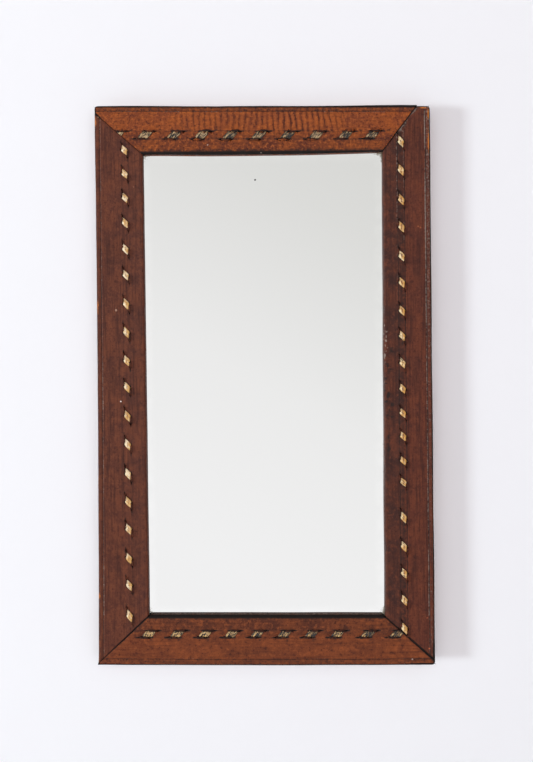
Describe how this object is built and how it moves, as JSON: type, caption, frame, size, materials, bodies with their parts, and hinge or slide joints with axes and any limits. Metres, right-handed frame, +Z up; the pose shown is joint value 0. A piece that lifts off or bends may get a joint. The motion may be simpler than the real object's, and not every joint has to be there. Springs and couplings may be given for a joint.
{
  "type": "wall mirror",
  "caption": "Upright wall mirror in a mitred wooden frame wrapped in dark leather, laced along each rail with a pale thong, and hung from a swinging ring.",
  "frame": {"origin": "nail seat: the inside of the hanger ring's top, in the plane of the ring, mid width", "axes": "+X to the right seen from the front, +Y into the wall, +Z up"},
  "size_m": [0.3394, 0.0256, 0.558],
  "materials": {
    "frame_wood": "bare sawn softwood",
    "top_leather": "worn, rubbed to orange brown",
    "bottom_leather": "worn, mottled red brown",
    "side_leather": "worn, dark red brown",
    "side_thong": "worn pale rawhide",
    "cross_thong": "worn greyed rawhide",
    "silvered_glass": "old silvering, foxed at its corners",
    "grey_card": "plain pressed card",
    "hardboard": "brown pressed board",
    "tack_iron": "blued",
    "nail_steel": "dull",
    "hanger_steel": "brass washed, worn"
  },
  "bodies": {
    "frame": {"back_panel": "hardboard", "bottom_cover": "bottom_leather", "bottom_lace": "cross_thong", "bottom_rail": "frame_wood", "corner_nails": "nail_steel", "cover_tacks": "tack_iron", "hanger_screw": "nail_steel", "hanger_strap": "hanger_steel", "left_cover": "side_leather", "left_lace": "side_thong", "left_rail": "frame_wood", "mirror_glass": "silvered_glass", "packing_card": "grey_card", "panel_brads": "nail_steel", "right_cover": "side_leather", "right_lace": "side_thong", "right_rail": "frame_wood", "top_cover": "top_leather", "top_lace": "cross_thong", "top_rail": "frame_wood"},
    "ring": {"hanger_ring": "hanger_steel"}
  },
  "joints": [
    {"name": "ring_swing", "type": "hinge", "parent": "frame", "child": "ring", "pos_m": [0, 0, -0.0093], "axis": [-1, 0, 0], "range_deg": [0, 160]}
  ]
}
